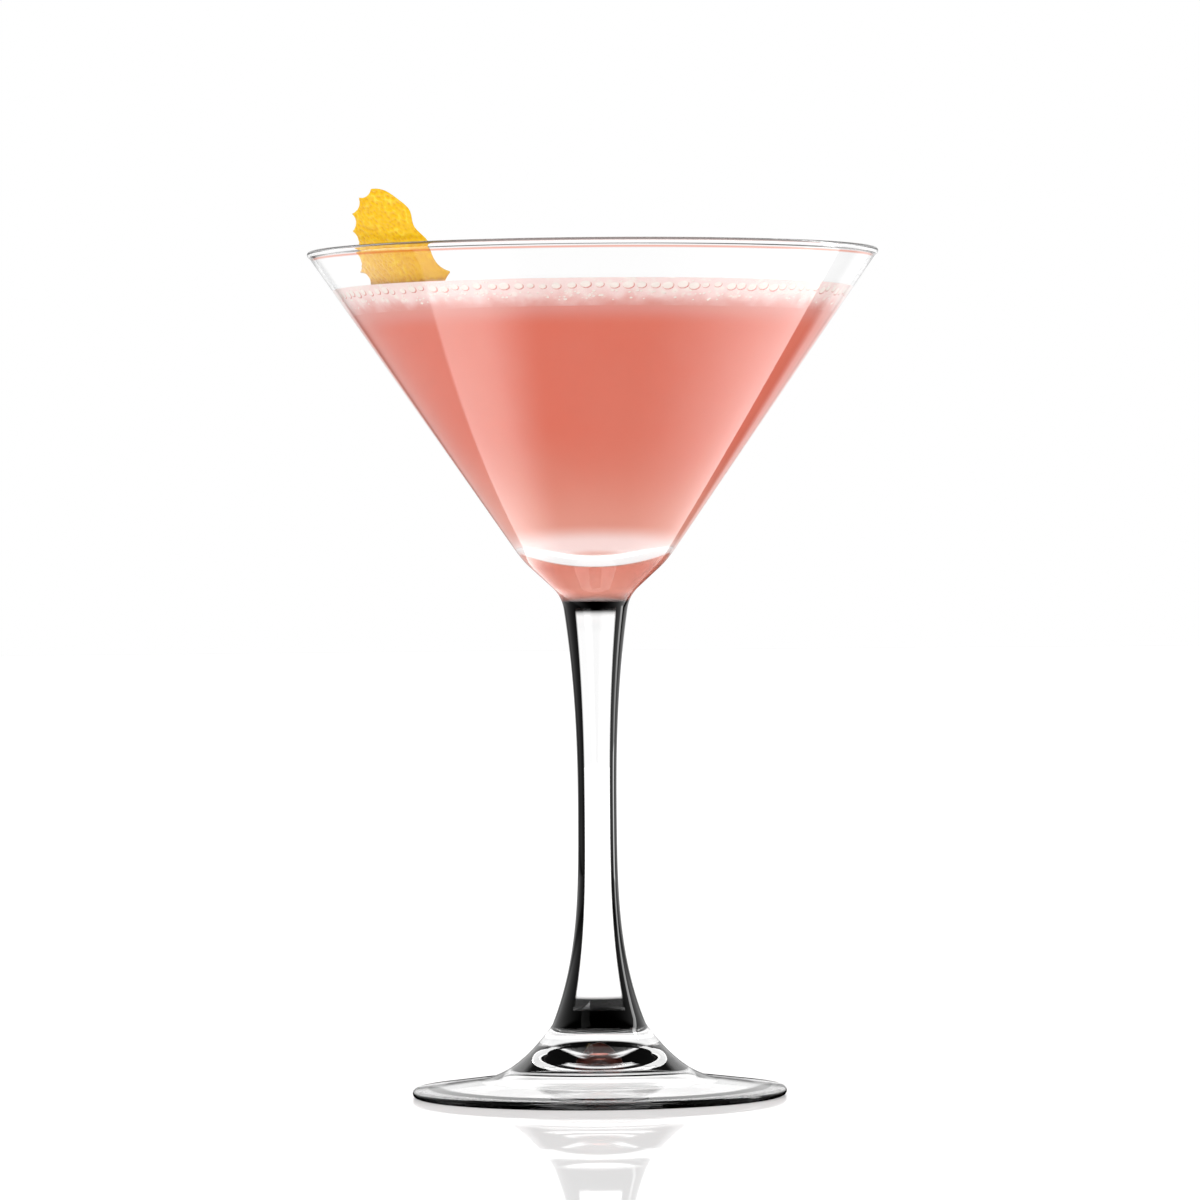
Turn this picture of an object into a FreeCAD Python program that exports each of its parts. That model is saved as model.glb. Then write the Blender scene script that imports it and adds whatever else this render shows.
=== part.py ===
import FreeCAD, Part
import math
import os

# A pink lady cocktail: a stemmed cocktail glass, the pink drink in it, the foam on top of
# the drink and a strip of lemon peel that leans on the bowl's wall.
#
# Millimetres, +Z up. The origin is at the middle of the foot's resting ring. The glass, the
# drink and the foam are turned about Z. The peel stands in the bowl at -X, -Y.

V = FreeCAD.Vector
AXIS = V(0, 0, 1)
ORIGIN = V(0, 0, 0)

# Foot: a thin plate that rises to a boss, hollow underneath
foot_radius = 35.6
foot_edge_round = 0.8          # radius of the fully rounded edge
foot_slope = 0.13              # rise of the plate towards the middle, mm per mm
boss_radius = 22.5             # where the plate turns up into the boss
boss_rise = 8.6                # height that the boss adds above the plate's slope
collar_radius = 8.9            # where the boss meets the stem
ring_width = 2.4               # flat ring that the glass rests on
hollow_rise = 8.5              # height of the hollow under the middle of the foot
dome_radius = 20.0             # where the hollow's gentle slope turns up into a dome
dome_base = 1.7                # height of the hollow there

# Stem: thinnest at the waist, wider towards the collar and the neck
waist_radius = 3.7
collar_to_waist = 40.4
waist_to_neck = 38.8
neck_radius = 6.1
lower_taper_power = 3.1
upper_taper_power = 2.4

# Bowl: a straight-sided cone on a rounded base
rim_radius = 54.3
bowl_side_height = 57.1        # from the end of the rounded base up to the rim's top
bowl_base_radius = 15.1        # where the rounded base turns into the straight side
base_turn = math.radians(12.8)  # how much flatter the base is than the side
base_round = 20.0
neck_fillet = 6.8
wall = 0.9
lip_round = 0.62               # the fire-polished lip is a little thicker than the wall
lip_fillet = 1.2

# Cavity of the bowl: it leaves the side's line and closes in a rounded floor
side_turn_above_base = 30.0    # height over the bowl's base where the inner wall thickens
floor_above_neck = 12.9
floor_round = 23.0

# Fill
free_height = 7.0              # from the foam's top up to the rim's top
foam_depth = 5.0

# Lemon peel: a bent sheet with one smooth and one scalloped side
peel_thickness = 1.6
peel_bend_radius = 46.0
peel_half_turn = math.radians(42.0)  # of the sheet about its bend, each way from the wall
peel_wall_clearance = 0.5
peel_azimuth = math.radians(227.0)
peel_centre_to_left = 34.1     # its outline's middle, from the glass's axis towards -X
scallop_centre = (3.5, 8.2)    # from the outline's middle at the foam's top, across and up
scallop_depth = 0.75
tooth_tips = (                 # degrees around the scallop centre, and distance from it
    (140.0, 13.2), (150.0, 14.4), (162.5, 14.6), (174.5, 14.0), (188.5, 13.4),
    (204.5, 13.8), (217.5, 13.3), (231.0, 13.4), (244.5, 13.2),
)
smooth_side = ((-4.0, 16.3), (-1.2, 14.4), (0.7, 12.4), (1.2, 10.1), (3.8, 7.1), (4.9, 4.5))
peel_tip = (8.2, 1.7)
peel_root = ((7.0, -0.1), (6.6, -2.6), (5.2, -6.8), (2.2, -9.0), (-0.9, -6.6))


def rz(radius, height):
    """A point of a turned profile."""
    return V(radius, 0, height)


def heading(angle):
    """Unit vector of a profile that climbs at an angle from the vertical."""
    return V(math.sin(angle), 0, math.cos(angle))


def outward(angle):
    """Unit normal to the right of that heading, away from the axis and down."""
    return V(math.cos(angle), 0, -math.sin(angle))


def arc_edge(start, centre, end):
    """Circular edge from start to end, the short way round centre."""
    middle = (start + end) * 0.5 - centre
    middle.normalize()
    return Part.Arc(start, centre + middle * (start - centre).Length, end).toShape()


def line_edge(start, end):
    return Part.LineSegment(start, end).toShape()


def smooth_edge(points, first=None, last=None):
    curve = Part.BSplineCurve()
    if first is None:
        curve.interpolate(points)
    else:
        curve.interpolate(Points=points, InitialTangent=first, FinalTangent=last)
    return curve.toShape()


def turned(edges):
    """Solid of revolution of a closed profile."""
    face = Part.Face(Part.Wire(edges))
    return face.revolve(ORIGIN, AXIS, 360)


def foot_top(radius):
    """Height of the foot's upper surface."""
    tilt = math.atan(foot_slope)
    edge_height = foot_edge_round * (1 + math.cos(tilt))
    edge_radius = foot_radius - foot_edge_round * (1 - math.sin(tilt))
    height = edge_height + foot_slope * (edge_radius - radius)
    if radius < boss_radius:
        share = (boss_radius - radius) / (boss_radius - collar_radius)
        height += boss_rise * share ** 2
    return height


collar_height = foot_top(collar_radius)
waist_height = collar_height + collar_to_waist
neck_height = waist_height + waist_to_neck
neck_flare = neck_radius - waist_radius
neck_angle = math.atan(upper_taper_power * neck_flare / waist_to_neck)


def stem_radius(height):
    if height < waist_height:
        share = (waist_height - height) / collar_to_waist
        return waist_radius + (collar_radius - waist_radius) * share ** lower_taper_power
    share = (height - waist_height) / waist_to_neck
    return waist_radius + neck_flare * share ** upper_taper_power


def bowl_side_angle():
    """Angle of the bowl's side from the vertical, from its base to the lip's circle."""
    across = rim_radius - lip_round - bowl_base_radius
    up = bowl_side_height - lip_round
    return math.atan2(across, up) + math.asin(wall / 2 / math.hypot(across, up))


side_angle = bowl_side_angle()
base_angle = side_angle + base_turn


def base_points():
    """Points of the bowl's rounded base, from the neck up, and its two arc centres."""
    neck = rz(neck_radius, neck_height)
    fillet_centre = neck + outward(neck_angle) * neck_fillet
    fillet_end = fillet_centre - outward(base_angle) * neck_fillet
    turn_drop = base_round * (math.sin(base_angle) - math.sin(side_angle))
    turn_in = base_round * (math.cos(side_angle) - math.cos(base_angle))
    turn_radius = bowl_base_radius - turn_in
    turn_height = fillet_end.z + (turn_radius - fillet_end.x) / math.tan(base_angle)
    turn_start = rz(turn_radius, turn_height)
    turn_end = rz(bowl_base_radius, turn_height + turn_drop)
    turn_centre = turn_end - outward(side_angle) * base_round
    return neck, fillet_centre, fillet_end, turn_start, turn_centre, turn_end


base_height = base_points()[-1].z
rim_height = base_height + bowl_side_height
foam_top = rim_height - free_height
foam_bottom = foam_top - foam_depth
lip_centre = rz(rim_radius - lip_round, rim_height - lip_round)


def inner_side(height):
    """Radius of the straight part of the cavity's wall."""
    on_wall = lip_centre - outward(side_angle) * (wall / 2)
    return on_wall.x + (height - on_wall.z) * math.tan(side_angle)


def lip_edges():
    """The lip's circle and the two fillets that lead into the wall's faces."""
    side = wall / 2 + lip_fillet
    drop = math.sqrt((lip_round + lip_fillet) ** 2 - side ** 2)
    foot_point = lip_centre - heading(side_angle) * drop
    across = outward(side_angle)
    outer_centre = foot_point + across * side
    inner_centre = foot_point - across * side
    outer_start = foot_point + across * (wall / 2)
    inner_end = foot_point - across * (wall / 2)
    outer_touch = lip_centre + (outer_centre - lip_centre).normalize() * lip_round
    inner_touch = lip_centre + (inner_centre - lip_centre).normalize() * lip_round
    crown = lip_centre + heading(side_angle) * lip_round
    return [
        arc_edge(outer_start, outer_centre, outer_touch),
        Part.Arc(outer_touch, crown, inner_touch).toShape(),
        arc_edge(inner_touch, inner_centre, inner_end),
    ]


def cavity_edges(top):
    """The cavity's wall from a point on its straight side down to the axis."""
    turn_height = base_height + side_turn_above_base
    turn = rz(inner_side(turn_height), turn_height)
    floor = rz(0, neck_height + floor_above_neck)
    floor_centre = floor + AXIS * floor_round
    from_centre = turn - floor_centre
    normal = outward(side_angle) * -1
    reach = from_centre.dot(normal) + floor_round
    turn_round = (floor_round ** 2 - from_centre.dot(from_centre)) / (2 * reach)
    turn_centre = turn + normal * turn_round
    meet = floor_centre + (floor_centre - turn_centre).normalize() * floor_round
    return [
        line_edge(top, turn),
        arc_edge(turn, turn_centre, meet),
        arc_edge(meet, floor_centre, floor),
    ]


def foot_edges():
    """From the axis under the foot, round its edge and up to the collar."""
    ring_outer = foot_radius - foot_edge_round
    ring_inner = ring_outer - ring_width
    dome_rise = hollow_rise - dome_base
    dome_round = (dome_radius ** 2 + dome_rise ** 2) / (2 * dome_rise)
    dome_end = rz(dome_radius, dome_base)
    edge_centre = rz(ring_outer, foot_edge_round)
    tilt = math.atan(foot_slope)
    edge_end = edge_centre + rz(math.sin(tilt), math.cos(tilt)) * foot_edge_round
    boss_start = rz(boss_radius, foot_top(boss_radius))
    boss_points = [boss_start]
    boss_spans = 6
    for step in range(1, boss_spans + 1):
        radius = boss_radius + (collar_radius - boss_radius) * step / boss_spans
        boss_points.append(rz(radius, foot_top(radius)))
    boss_width = boss_radius - collar_radius
    steep = foot_slope + 2 * boss_rise / boss_width
    return [
        arc_edge(rz(0, hollow_rise), rz(0, hollow_rise - dome_round), dome_end),
        line_edge(dome_end, rz(ring_inner, 0)),
        line_edge(rz(ring_inner, 0), rz(ring_outer, 0)),
        Part.Arc(rz(ring_outer, 0), rz(foot_radius, foot_edge_round), edge_end).toShape(),
        line_edge(edge_end, boss_start),
        smooth_edge(boss_points, V(-1, 0, foot_slope), V(-1, 0, steep)),
    ]


def stem_edge():
    """The stem's side, from the collar to the neck."""
    points = []
    spans = 14
    for step in range(spans + 1):
        height = collar_height + (neck_height - collar_height) * step / spans
        points.append(rz(stem_radius(height), height))
    collar_slope = (collar_radius - waist_radius) * lower_taper_power / collar_to_waist
    return smooth_edge(points, V(-collar_slope, 0, 1), V(math.tan(neck_angle), 0, 1))


def make_glass():
    neck, fillet_centre, fillet_end, turn_start, turn_centre, turn_end = base_points()
    lip = lip_edges()
    lip_start = lip[0].Vertexes[0].Point
    lip_end = lip[-1].Vertexes[-1].Point
    floor = rz(0, neck_height + floor_above_neck)
    edges = foot_edges()
    edges.append(stem_edge())
    edges.append(arc_edge(neck, fillet_centre, fillet_end))
    edges.append(line_edge(fillet_end, turn_start))
    edges.append(arc_edge(turn_start, turn_centre, turn_end))
    edges.append(line_edge(turn_end, lip_start))
    edges.extend(lip)
    edges.extend(cavity_edges(lip_end))
    edges.append(line_edge(floor, rz(0, hollow_rise)))
    return turned(edges)


def make_drink():
    """The pink drink, from the cavity's floor up to the underside of the foam."""
    level = rz(inner_side(foam_bottom), foam_bottom)
    floor = rz(0, neck_height + floor_above_neck)
    edges = cavity_edges(level)
    edges.append(line_edge(floor, rz(0, foam_bottom)))
    edges.append(line_edge(rz(0, foam_bottom), level))
    return turned(edges)


def make_foam():
    """The layer of foam that floats on the drink and fills the bowl's width."""
    corners = [
        rz(0, foam_bottom),
        rz(inner_side(foam_bottom), foam_bottom),
        rz(inner_side(foam_top), foam_top),
        rz(0, foam_top),
    ]
    edges = []
    for index, corner in enumerate(corners):
        edges.append(line_edge(corner, corners[(index + 1) % len(corners)]))
    return turned(edges)


def peel_point(across, up):
    """A point of the peel's outline in the upright plane through the glass's axis."""
    return V(across - peel_centre_to_left, 0, foam_top + up)


def peel_outline():
    """The peel seen along +Y: scallops down its left side, a smooth curve on its right."""
    tips = []
    notches = []
    for degrees, reach in tooth_tips:
        angle = math.radians(degrees)
        tips.append(
            peel_point(
                scallop_centre[0] + reach * math.cos(angle),
                scallop_centre[1] + reach * math.sin(angle),
            )
        )
    middle = peel_point(*scallop_centre)
    for upper, lower in zip(tips, tips[1:]):
        half = (upper + lower) * 0.5
        notches.append(half + (middle - half).normalize() * scallop_depth)
    edges = []
    for upper, notch, lower in zip(tips, notches, tips[1:]):
        edges.append(Part.Arc(upper, notch, lower).toShape())
    root = [tips[-1]]
    for across, up in reversed(peel_root):
        root.append(peel_point(across, up))
    root.append(peel_point(*peel_tip))
    edges.append(smooth_edge(root))
    side = [peel_point(*peel_tip)]
    for across, up in reversed(smooth_side):
        side.append(peel_point(across, up))
    side.append(tips[0])
    edges.append(smooth_edge(side))
    return Part.Wire(edges)


def make_peel():
    """A bent sheet that lies along the bowl's wall, trimmed to the outline."""
    round_the_glass = V(math.cos(peel_azimuth), math.sin(peel_azimuth), 0)
    slope = V(
        round_the_glass.x * math.sin(side_angle),
        round_the_glass.y * math.sin(side_angle),
        math.cos(side_angle),
    )
    to_wall = V(
        round_the_glass.x * math.cos(side_angle),
        round_the_glass.y * math.cos(side_angle),
        -math.sin(side_angle),
    )
    on_wall = round_the_glass * inner_side(foam_top) + AXIS * foam_top
    touch = on_wall - to_wall * peel_wall_clearance
    reach = rim_radius
    bend_axis = touch - to_wall * peel_bend_radius
    first = FreeCAD.Rotation(slope, -math.degrees(peel_half_turn)).multVec(to_wall)
    zest_side = bend_axis + first * peel_bend_radius
    pith_side = bend_axis + first * (peel_bend_radius - peel_thickness)
    up = slope * reach
    strip = Part.makePolygon([zest_side - up, zest_side + up, pith_side + up, pith_side - up, zest_side - up])
    sheet = Part.Face(strip).revolve(bend_axis, slope, 2 * math.degrees(peel_half_turn))
    trim = Part.Face(peel_outline())
    trim.translate(V(0, -2 * reach, 0))
    prism = trim.extrude(V(0, 2 * reach, 0))
    return sheet.common(prism)


def save(shape, node):
    """Write the one solid of a node as STEP."""
    solids = shape.Solids
    if len(solids) != 1 or not solids[0].isValid():
        raise ValueError("%s has %d solids or isn't valid" % (node, len(solids)))
    solids[0].exportStep("parts/%s.step" % node)
    print("%-12s %8.1f ml" % (node, solids[0].Volume / 1000))


os.makedirs("parts", exist_ok=True)
lemon_peel = make_peel()
save(make_glass(), "glass")
save(make_drink().cut(lemon_peel), "drink")
save(make_foam().cut(lemon_peel), "foam")
save(lemon_peel, "lemon_peel")
print("rim at %.2f mm, foam's top at %.2f mm" % (rim_height, foam_top))
print("bowl's side at %.2f degrees from the vertical" % math.degrees(side_angle))
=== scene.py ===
import math
import random
from functools import partial

import bmesh
import bpy
from bpy.props import FloatProperty, FloatVectorProperty, IntProperty, PointerProperty
from mathutils import Matrix, Vector, noise


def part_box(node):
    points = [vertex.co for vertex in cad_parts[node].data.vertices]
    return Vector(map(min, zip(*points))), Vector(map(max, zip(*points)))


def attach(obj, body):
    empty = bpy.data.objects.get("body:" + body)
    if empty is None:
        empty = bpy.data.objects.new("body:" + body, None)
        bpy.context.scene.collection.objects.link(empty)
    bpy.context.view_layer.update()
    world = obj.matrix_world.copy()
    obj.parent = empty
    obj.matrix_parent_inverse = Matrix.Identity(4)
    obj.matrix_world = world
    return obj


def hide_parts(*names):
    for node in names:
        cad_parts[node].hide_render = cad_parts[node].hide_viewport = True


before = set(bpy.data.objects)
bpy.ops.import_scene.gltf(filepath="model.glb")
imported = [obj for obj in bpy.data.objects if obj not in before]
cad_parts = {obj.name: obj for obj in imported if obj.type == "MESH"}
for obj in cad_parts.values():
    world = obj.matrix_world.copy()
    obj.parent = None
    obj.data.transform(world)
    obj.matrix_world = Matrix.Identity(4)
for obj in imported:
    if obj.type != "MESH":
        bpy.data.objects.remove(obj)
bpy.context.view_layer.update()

bl_info = {
    "name": "Pink Lady Cocktail",
    "version": (1, 0, 0),
    "blender": (4, 5, 0),
    "location": "3D View > Sidebar > Cocktail",
    "description": "Dresses the cocktail's frame: clear glass, pink drink, foam and lemon peel",
    "category": "Object",
}

MM = 0.001
GLASS_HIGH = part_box("glass")[1]
FOAM_LOW, FOAM_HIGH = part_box("foam")


def length(name, description, default):
    """A length of the object, in metres."""
    return FloatProperty(
        name=name, description=description, default=default, unit="LENGTH", subtype="DISTANCE"
    )


def linear(hex_colour):
    """An sRGB hex colour as linear red, green, blue and alpha, by the sRGB standard's curve."""
    channels = []
    for start in (1, 3, 5):
        value = int(hex_colour[start:start + 2], 16) / 255
        if value <= 0.04045:
            channels.append(value / 12.92)
        else:
            channels.append(((value + 0.055) / 1.055) ** 2.4)
    return (*channels, 1.0)


def colour(name, description, hex_colour):
    """A colour that a user may change."""
    return FloatVectorProperty(
        name=name,
        description=description,
        default=linear(hex_colour),
        size=4,
        min=0.0,
        max=1.0,
        subtype="COLOR",
    )


class GlassSizes(bpy.types.PropertyGroup):
    """The turned glass, from the foot up."""

    foot_radius: length("Foot radius", "Radius of the foot", 35.6 * MM)
    foot_edge_round: length("Foot edge", "Radius of the foot's rounded edge", 0.8 * MM)
    boss_radius: length("Boss radius", "Where the foot turns up", 22.5 * MM)
    boss_rise: length("Boss rise", "Height of the boss over the plate's slope", 8.6 * MM)
    collar_radius: length("Collar radius", "Where the boss meets the stem", 8.9 * MM)
    ring_width: length("Resting ring", "Width of the flat ring under the foot", 2.4 * MM)
    hollow_rise: length("Hollow", "Height of the hollow under the foot", 8.5 * MM)
    dome_radius: length("Dome radius", "Where the hollow turns up into a dome", 20.0 * MM)
    dome_base: length("Dome base", "Height at which the dome starts", 1.7 * MM)
    waist_radius: length("Waist radius", "Thinnest part of the stem", 3.7 * MM)
    collar_to_waist: length("Collar to waist", "Lower length of the stem", 40.4 * MM)
    waist_to_neck: length("Waist to neck", "Upper length of the stem", 38.8 * MM)
    neck_radius: length("Neck radius", "Stem's radius under the bowl", 6.1 * MM)
    neck_fillet: length("Neck fillet", "Hollow curve between stem and bowl", 6.8 * MM)
    rim_radius: length("Rim radius", "Outer radius of the lip", GLASS_HIGH[0])
    rim_height: length("Rim height", "Top of the lip", GLASS_HIGH[2])
    bowl_side_height: length("Side height", "Height of the bowl's straight side", 57.1 * MM)
    bowl_base_radius: length("Base radius", "Where the straight side starts", 15.1 * MM)
    base_round: length("Base round", "Radius of the turn into the base", 20.0 * MM)
    wall: length("Wall", "Thickness of the bowl's wall", 0.9 * MM)
    lip_round: length("Lip round", "Radius of the fire-polished lip", 0.62 * MM)
    lip_fillet: length("Lip fillet", "Hollow curve under the lip", 1.2 * MM)
    side_turn_above_base: length("Side turn", "Where the inner wall thickens", 30.0 * MM)
    floor_above_neck: length("Floor", "Height of the bowl's floor over the neck", 12.9 * MM)
    floor_round: length("Floor round", "Radius of the bowl's floor", 23.0 * MM)
    foam_top: length("Foam top", "Level of the foam's top", FOAM_HIGH[2])
    foam_bottom: length("Foam bottom", "Level of the foam's underside", FOAM_LOW[2])
    reach: length("Reach", "How far the filling reaches into the wall", 0.12 * MM)
    foot_slope: FloatProperty(
        name="Foot slope", description="Rise of the foot's plate", default=0.13
    )
    base_turn: FloatProperty(
        name="Base turn", description="How much flatter the base is than the side",
        default=math.radians(12.8), unit="ROTATION", subtype="ANGLE",
    )
    lower_taper: FloatProperty(
        name="Lower taper", description="Power of the lower flare", default=3.1
    )
    upper_taper: FloatProperty(
        name="Upper taper", description="Power of the upper flare", default=2.4
    )


class DrinkColours(bpy.types.PropertyGroup):
    """Colours of what fills the glass."""

    drink: colour("Drink", "Body of the drink", "#E7836F")
    # The next colour is the haze's, and also the painted light low in the bowl.
    drink_haze_and_painted_light: colour("Low drink", "Drink in the narrow end of the bowl", "#E7A494")
    foam: colour("Foam", "Fine foam near its top", "#FEE8E5")
    foam_low: colour("Low foam", "Foam where it meets the drink", "#E7A399")
    # The bubble colour is a bubble's pale middle, with its painted highlight, and also the paler
    # bubbles in the foam.
    bubble: colour("Bubble", "Middle of a bubble against the glass", "#FFF7F0")
    bubble_edge: colour("Bubble edge", "Film around a bubble", "#E2978B")
    zest: colour("Zest", "Skin of the peel", "#F7C800")
    # Zest ridge is a painted highlight; zest pore is a painted shade in the pores, and also the
    # skin's darker tone.
    zest_ridge_highlight: colour("Zest ridge", "Skin between the oil pores", "#FFE468")
    zest_tone_and_pore_shade: colour("Zest pore", "Skin in an oil pore", "#EAB000")
    pith: colour("Pith", "Inner side of the peel", "#F8E9B8")


# ---------------------------------------------------------------- profiles


def heading(angle):
    """Unit vector of a profile that climbs at an angle from the vertical."""
    return Vector((math.sin(angle), math.cos(angle)))


def outward(angle):
    """Unit normal of such a profile, away from the axis."""
    return Vector((math.cos(angle), -math.sin(angle)))


def arc(start, centre, end, steps):
    """Points of a circular arc from start to end, the short way, without its start."""
    first = math.atan2(start.y - centre.y, start.x - centre.x)
    last = math.atan2(end.y - centre.y, end.x - centre.x)
    turn = (last - first + math.pi) % (2 * math.pi) - math.pi
    radius = (start - centre).length
    points = []
    for step in range(1, steps + 1):
        angle = first + turn * step / steps
        points.append(centre + Vector((math.cos(angle), math.sin(angle))) * radius)
    return points


def line(start, end, steps):
    """Points of a straight run, without its start."""
    return [start.lerp(end, step / steps) for step in range(1, steps + 1)]


class Bowl:
    """Places on the glass's profile that follow from its sizes, as radius and height."""

    def __init__(self, sizes):
        self.sizes = sizes
        self.lip = Vector((sizes.rim_radius - sizes.lip_round, sizes.rim_height - sizes.lip_round))
        base_height = sizes.rim_height - sizes.bowl_side_height
        self.base = Vector((sizes.bowl_base_radius, base_height))
        span = self.lip - self.base
        self.side = math.atan2(span.x, span.y) + math.asin(sizes.wall / 2 / span.length)
        self.under = self.side + sizes.base_turn
        self.turn_centre = self.base - outward(self.side) * sizes.base_round
        self.turn_start = self.turn_centre + outward(self.under) * sizes.base_round
        flare = sizes.neck_radius - sizes.waist_radius
        neck_angle = math.atan(sizes.upper_taper * flare / sizes.waist_to_neck)
        to_fillet = outward(neck_angle) - outward(self.under)
        fillet_radius = sizes.neck_radius + to_fillet.x * sizes.neck_fillet
        drop = (self.turn_start.x - fillet_radius) / math.tan(self.under)
        fillet_height = self.turn_start.y - drop
        self.fillet_end = Vector((fillet_radius, fillet_height))
        self.neck = self.fillet_end - to_fillet * sizes.neck_fillet
        self.fillet_centre = self.neck + outward(neck_angle) * sizes.neck_fillet
        self.waist = self.neck.y - sizes.waist_to_neck
        self.collar = self.waist - sizes.collar_to_waist

    def stem_radius(self, height):
        """The stem flares from its waist, down to the collar and up to the neck."""
        sizes = self.sizes
        if height < self.waist:
            share = (self.waist - height) / sizes.collar_to_waist
            flare = sizes.collar_radius - sizes.waist_radius
            return sizes.waist_radius + flare * share ** sizes.lower_taper
        share = (height - self.waist) / sizes.waist_to_neck
        flare = sizes.neck_radius - sizes.waist_radius
        return sizes.waist_radius + flare * share ** sizes.upper_taper

    def foot_top(self, radius):
        """Height of the foot's upper side: a sloped plate, with the boss on it."""
        sizes = self.sizes
        tilt = math.atan(sizes.foot_slope)
        edge_height = sizes.foot_edge_round * (1 + math.cos(tilt))
        edge_radius = sizes.foot_radius - sizes.foot_edge_round * (1 - math.sin(tilt))
        height = edge_height + sizes.foot_slope * (edge_radius - radius)
        if radius < sizes.boss_radius:
            share = (sizes.boss_radius - radius) / (sizes.boss_radius - sizes.collar_radius)
            height += sizes.boss_rise * share ** 2
        return height

    def inner_side(self, height, reach=0.0):
        """Radius of the cavity's straight wall, moved out into the wall by reach."""
        on_wall = self.lip - outward(self.side) * (self.sizes.wall / 2 - reach)
        return on_wall.x + (height - on_wall.y) * math.tan(self.side)

    def cavity(self, top, reach=0.0):
        """The cavity's profile from a point on its straight wall down to the axis."""
        sizes = self.sizes
        height = self.base.y + sizes.side_turn_above_base
        turn = Vector((self.inner_side(height), height))
        floor = Vector((0.0, self.neck.y + sizes.floor_above_neck))
        floor_centre = floor + Vector((0.0, sizes.floor_round))
        away = turn - floor_centre
        normal = -outward(self.side)
        reach_up = away.dot(normal) + sizes.floor_round
        turn_round = (sizes.floor_round ** 2 - away.dot(away)) / (2 * reach_up)
        turn_centre = turn + normal * turn_round
        toward = (floor_centre - turn_centre).normalized()
        meet = floor_centre + toward * (sizes.floor_round + reach)
        start = turn - normal * reach
        points = line(top, start, steps=12)
        points += arc(start, turn_centre, meet, steps=40)
        points += arc(meet, floor_centre, floor - Vector((0.0, reach)), steps=28)
        return points

    def foot(self):
        """From the axis under the foot, round its edge, to the collar."""
        sizes = self.sizes
        ring_outer = sizes.foot_radius - sizes.foot_edge_round
        ring_inner = ring_outer - sizes.ring_width
        rise = sizes.hollow_rise - sizes.dome_base
        dome_round = (sizes.dome_radius ** 2 + rise ** 2) / (2 * rise)
        tilt = math.atan(sizes.foot_slope)
        edge_centre = Vector((ring_outer, sizes.foot_edge_round))
        edge_end = edge_centre + Vector((math.sin(tilt), math.cos(tilt))) * sizes.foot_edge_round
        start = Vector((0.0, sizes.hollow_rise))
        points = [start]
        knee = Vector((sizes.dome_radius, sizes.dome_base))
        points += arc(start, Vector((0.0, sizes.hollow_rise - dome_round)), knee, steps=24)
        points += line(knee, Vector((ring_inner, 0.0)), steps=4)
        points += line(points[-1], Vector((ring_outer, 0.0)), steps=2)
        points += arc(points[-1], edge_centre, edge_end, steps=18)
        boss = Vector((sizes.boss_radius, self.foot_top(sizes.boss_radius)))
        points += line(edge_end, boss, steps=8)
        steps = 26
        narrowing = sizes.collar_radius - sizes.boss_radius
        for step in range(1, steps + 1):
            radius = sizes.boss_radius + narrowing * step / steps
            points.append(Vector((radius, self.foot_top(radius))))
        return points

    def stem(self):
        """From the collar up to the neck."""
        steps = 56
        points = []
        for step in range(1, steps + 1):
            height = self.collar + (self.neck.y - self.collar) * step / steps
            points.append(Vector((self.stem_radius(height), height)))
        return points

    def lip_points(self):
        """Up the outer fillet, round the lip and down the inner fillet."""
        sizes = self.sizes
        side = sizes.wall / 2 + sizes.lip_fillet
        drop = math.sqrt((sizes.lip_round + sizes.lip_fillet) ** 2 - side ** 2)
        across = outward(self.side)
        under = self.lip - heading(self.side) * drop
        outer_centre = under + across * side
        inner_centre = under - across * side
        outer_touch = self.lip + (outer_centre - self.lip).normalized() * sizes.lip_round
        inner_touch = self.lip + (inner_centre - self.lip).normalized() * sizes.lip_round
        crown = self.lip + heading(self.side) * sizes.lip_round
        start = under + across * (sizes.wall / 2)
        end = under - across * (sizes.wall / 2)
        points = [start]
        points += arc(start, outer_centre, outer_touch, steps=6)
        points += arc(outer_touch, self.lip, crown, steps=14)
        points += arc(crown, self.lip, inner_touch, steps=14)
        points += arc(inner_touch, inner_centre, end, steps=6)
        return points

    def outline(self):
        """The whole profile, from the axis under the foot to the cavity's floor."""
        points = self.foot()
        points += self.stem()
        points += arc(self.neck, self.fillet_centre, self.fillet_end, steps=16)
        points += line(self.fillet_end, self.turn_start, steps=6)
        points += arc(self.turn_start, self.turn_centre, self.base, steps=12)
        lip = self.lip_points()
        points += line(self.base, lip[0], steps=20)
        points += lip[1:]
        points += self.cavity(points[-1])
        return points


# ---------------------------------------------------------------- meshes


SHARP_CORNER = math.radians(35.0)
MERGE_DISTANCE = 1e-7


def finished(name, bm, smooth=True):
    """A piece from a bmesh, at the origin, shaded smooth except at its sharp corners."""
    for face in bm.faces:
        face.smooth = smooth
    for edge in bm.edges:
        if edge.is_manifold and edge.calc_face_angle() > SHARP_CORNER:
            edge.smooth = False
    mesh = bpy.data.meshes.new(name)
    bm.to_mesh(mesh)
    bm.free()
    piece = bpy.data.objects.new(name, mesh)
    bpy.context.scene.collection.objects.link(piece)
    return piece


def turned(name, points, steps):
    """A closed piece turned about Z from a profile whose ends lie on the axis."""
    bm = bmesh.new()
    verts = [bm.verts.new((point.x, 0.0, point.y)) for point in points]
    edges = [bm.edges.new(pair) for pair in zip(verts, verts[1:])]
    bmesh.ops.spin(
        bm, geom=verts + edges, cent=(0, 0, 0), axis=(0, 0, 1), dvec=(0, 0, 0),
        angle=2 * math.pi, steps=steps, use_merge=True, use_duplicate=False,
    )
    bmesh.ops.remove_doubles(bm, verts=bm.verts, dist=MERGE_DISTANCE)
    bmesh.ops.recalc_face_normals(bm, faces=bm.faces)
    return finished(name, bm)


# ---------------------------------------------------------------- materials


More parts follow.
